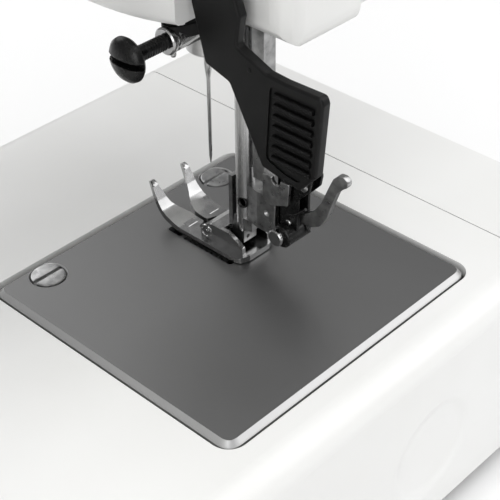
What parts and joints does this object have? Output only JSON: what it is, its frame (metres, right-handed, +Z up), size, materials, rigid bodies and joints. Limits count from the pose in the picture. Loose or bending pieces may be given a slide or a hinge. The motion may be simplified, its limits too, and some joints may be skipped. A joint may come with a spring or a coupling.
{
  "type": "sewing machine",
  "caption": "Domestic flatbed zigzag sewing machine with removable end box, steel stitch plate, snap foot, lifter, handwheel and working shafts.",
  "frame": {"origin": "on the table under the middle of the machine's overall box", "axes": "+X towards the handwheel, +Y to the back, +Z up; the user sits at -Y"},
  "size_m": [0.4, 0.151, 0.299],
  "materials": {
    "white_abs": "moulded ABS, glossy",
    "grey_plastic": "moulded, satin",
    "black_plastic": "moulded, satin black",
    "foot_rubber": "moulded rubber",
    "belt_rubber": "toothed and round belt rubber",
    "plate_steel": "fine ground steel, satin",
    "cast_aluminium": "die-cast, as cast",
    "sintered_bronze": "oil-filled sintered bronze",
    "ground_steel": "ground steel",
    "nickel_chrome": "polished nickel chrome plate",
    "blackened_steel": "blackened steel",
    "clear_bobbin": "clear moulded plastic",
    "lamp_glass": "clear glass bulb"
  },
  "bodies": {
    "machine": {"bed_casing": "white_abs", "rear_cap": "white_abs", "bottom_cover": "grey_plastic", "rubber_feet": "foot_rubber", "needle_plate": "plate_steel", "plate_screws": "plate_steel", "bed_frame": "cast_aluminium", "front_casing": "white_abs", "rear_casing": "white_abs", "arm_frame": "cast_aluminium", "shaft_bushes": "sintered_bronze", "pivot_pins": "ground_steel", "motor_housing": "blackened_steel", "timing_belt": "belt_rubber", "drive_belt": "belt_rubber", "lamp": "lamp_glass", "power_inlet": "black_plastic"},
    "accessory_box": {"accessory_box": "white_abs"},
    "accessory_lid": {"accessory_lid": "white_abs"},
    "shuttle_door": {"shuttle_door": "white_abs"},
    "face_cover": {"face_cover": "white_abs"},
    "carry_handle": {"carry_handle": "white_abs"},
    "upper_shaft": {"main_shaft": "ground_steel", "crank_disc": "cast_aluminium", "shaft_wheels": "grey_plastic", "handwheel": "black_plastic"},
    "clutch_knob": {"clutch_knob": "black_plastic"},
    "motor_rotor": {"motor_rotor": "ground_steel"},
    "lower_shaft": {"lower_shaft": "ground_steel", "lower_wheels": "grey_plastic"},
    "hook": {"rotary_hook": "ground_steel"},
    "bobbin_case": {"bobbin_case": "ground_steel"},
    "bobbin": {"bobbin": "clear_bobbin"},
    "feed_bar": {"feed_bar": "cast_aluminium"},
    "feed_dogs": {"feed_dogs": "ground_steel"},
    "needle_frame": {"needle_frame": "cast_aluminium"},
    "needle_bar": {"needle_bar": "nickel_chrome", "connecting_rod": "cast_aluminium", "needle_clamp": "nickel_chrome", "needle": "nickel_chrome"},
    "clamp_screw": {"clamp_screw": "blackened_steel"},
    "take_up_lever": {"take_up_lever": "nickel_chrome"},
    "lifter_lever": {"lifter_lever": "black_plastic"},
    "presser_bar": {"presser_bar": "nickel_chrome", "bar_bracket": "cast_aluminium", "presser_spring": "ground_steel", "guide_rod": "ground_steel", "ankle_block": "ground_steel", "notch_plate": "ground_steel", "spring_bracket": "blackened_steel", "ankle_pins": "ground_steel"},
    "presser_foot": {"presser_foot": "nickel_chrome"},
    "release_lever": {"release_lever": "ground_steel"},
    "tension_dial": {"tension_dial": "black_plastic"},
    "pattern_dial": {"pattern_dial": "black_plastic"},
    "length_dial": {"length_dial": "black_plastic"},
    "reverse_lever": {"reverse_lever": "black_plastic"},
    "power_switch": {"power_switch": "black_plastic"},
    "winder_spindle": {"winder_spindle": "black_plastic"},
    "spool_pin": {"spool_pin": "black_plastic"}
  },
  "joints": [
    {"name": "end_box_slide", "type": "slide", "parent": "machine", "child": "accessory_box", "axis": [-1, 0, 0], "range_m": [0, 0.06]},
    {"name": "box_lid_hinge", "type": "hinge", "parent": "accessory_box", "child": "accessory_lid", "pos_m": [-0.1984, 0, 0.0221], "axis": [0, -1, 0], "range_deg": [0, 95]},
    {"name": "shuttle_door_hinge", "type": "hinge", "parent": "machine", "child": "shuttle_door", "pos_m": [-0.1176, -0.074, 0.0181], "axis": [1, 0, 0], "range_deg": [0, 90]},
    {"name": "face_cover_hinge", "type": "hinge", "parent": "machine", "child": "face_cover", "pos_m": [-0.1414, 0.0343, 0.21], "axis": [0, 0, -1], "range_deg": [0, 85]},
    {"name": "handle_fold", "type": "hinge", "parent": "machine", "child": "carry_handle", "pos_m": [0.01, -0.004, 0.2945], "axis": [1, 0, 0], "range_deg": [0, 90]},
    {"name": "main_shaft_turn", "type": "hinge", "parent": "machine", "child": "upper_shaft", "pos_m": [0, 0.0035, 0.246], "axis": [1, 0, 0], "continuous": true},
    {"name": "clutch_turn", "type": "hinge", "parent": "upper_shaft", "child": "clutch_knob", "pos_m": [0.197, 0.0035, 0.246], "axis": [1, 0, 0], "range_deg": [0, 90]},
    {"name": "motor_turn", "type": "hinge", "parent": "machine", "child": "motor_rotor", "pos_m": [0.1, -0.002, 0.1], "axis": [1, 0, 0], "continuous": true},
    {"name": "lower_shaft_turn", "type": "hinge", "parent": "machine", "child": "lower_shaft", "pos_m": [0, 0.0335, 0.035], "axis": [1, 0, 0], "continuous": true},
    {"name": "hook_turn", "type": "hinge", "parent": "machine", "child": "hook", "pos_m": [-0.1216, 0, 0.035], "axis": [0, 1, 0], "continuous": true},
    {"name": "bobbin_case_slide", "type": "slide", "parent": "machine", "child": "bobbin_case", "axis": [0, -1, 0], "range_m": [0, 0.035]},
    {"name": "bobbin_spin", "type": "hinge", "parent": "bobbin_case", "child": "bobbin", "pos_m": [-0.1216, -0.0075, 0.035], "axis": [0, 1, 0], "continuous": true},
    {"name": "feed_travel", "type": "slide", "parent": "machine", "child": "feed_bar", "axis": [0, 1, 0], "range_m": [-0.0016, 0.0016]},
    {"name": "feed_lift", "type": "slide", "parent": "feed_bar", "child": "feed_dogs", "axis": [0, 0, 1], "range_m": [0, 0.0012]},
    {"name": "zigzag_swing", "type": "hinge", "parent": "machine", "child": "needle_frame", "pos_m": [-0.1216, 0.0095, 0.262], "axis": [0, 1, 0], "range_deg": [-0.75, 0.75]},
    {"name": "needle_stroke", "type": "slide", "parent": "needle_frame", "child": "needle_bar", "axis": [0, 0, 1], "range_m": [-0.033, 0]},
    {"name": "clamp_screw_turn", "type": "hinge", "parent": "needle_bar", "child": "clamp_screw", "pos_m": [-0.1066, 0.0035, 0.1269], "axis": [1, 0, 0], "range_deg": [0, 360]},
    {"name": "take_up_swing", "type": "hinge", "parent": "machine", "child": "take_up_lever", "pos_m": [-0.1351, -0.011, 0.232], "axis": [1, 0, 0], "range_deg": [0, 62]},
    {"name": "lifter_swing", "type": "hinge", "parent": "machine", "child": "lifter_lever", "pos_m": [-0.1126, 0.0185, 0.2], "axis": [0, -1, 0], "range_deg": [0, 65]},
    {"name": "presser_lift", "type": "slide", "parent": "machine", "child": "presser_bar", "axis": [0, 0, 1], "range_m": [0, 0.0065], "deforming": ["presser_spring"]},
    {"name": "foot_tilt", "type": "hinge", "parent": "presser_bar", "child": "presser_foot", "pos_m": [-0.1216, 0.0067, 0.0713], "axis": [1, 0, 0], "range_deg": [0, 5]},
    {"name": "release_press", "type": "hinge", "parent": "presser_bar", "child": "release_lever", "pos_m": [-0.1216, 0.0327, 0.0844], "axis": [1, 0, 0], "range_deg": [0, 12], "stiffness_Nm_per_rad": 0.05},
    {"name": "tension_turn", "type": "hinge", "parent": "machine", "child": "tension_dial", "pos_m": [-0.1186, -0.046, 0.222], "axis": [0, 1, 0], "range_deg": [0, 300]},
    {"name": "pattern_turn", "type": "hinge", "parent": "machine", "child": "pattern_dial", "pos_m": [0.11, -0.046, 0.15], "axis": [0, 1, 0], "continuous": true},
    {"name": "length_turn", "type": "hinge", "parent": "machine", "child": "length_dial", "pos_m": [0.11, -0.046, 0.222], "axis": [0, 1, 0], "range_deg": [0, 270]},
    {"name": "reverse_press", "type": "hinge", "parent": "machine", "child": "reverse_lever", "pos_m": [0.11, -0.0335, 0.104], "axis": [1, 0, 0], "range_deg": [0, 12], "stiffness_Nm_per_rad": 0.3},
    {"name": "switch_rock", "type": "hinge", "parent": "machine", "child": "power_switch", "pos_m": [0.173, -0.025, 0.1], "axis": [0, 1, 0], "range_deg": [0, 10]},
    {"name": "winder_spin", "type": "hinge", "parent": "machine", "child": "winder_spindle", "pos_m": [0.132, -0.014, 0.29], "axis": [0, 0, 1], "continuous": true},
    {"name": "spool_pin_lift", "type": "slide", "parent": "machine", "child": "spool_pin", "axis": [0, 0, 1], "range_m": [0, 0.04]}
  ],
  "couplings": [
    {"joint": "motor_turn", "follows": "main_shaft_turn", "ratio": 4.19},
    {"joint": "lower_shaft_turn", "follows": "main_shaft_turn", "ratio": 1},
    {"joint": "hook_turn", "follows": "main_shaft_turn", "ratio": 2},
    {"joint": "presser_lift", "follows": "lifter_swing", "m_per_rad": 0.00572},
    {"joint": "foot_tilt", "follows": "lifter_swing", "ratio": 0.0769}
  ]
}
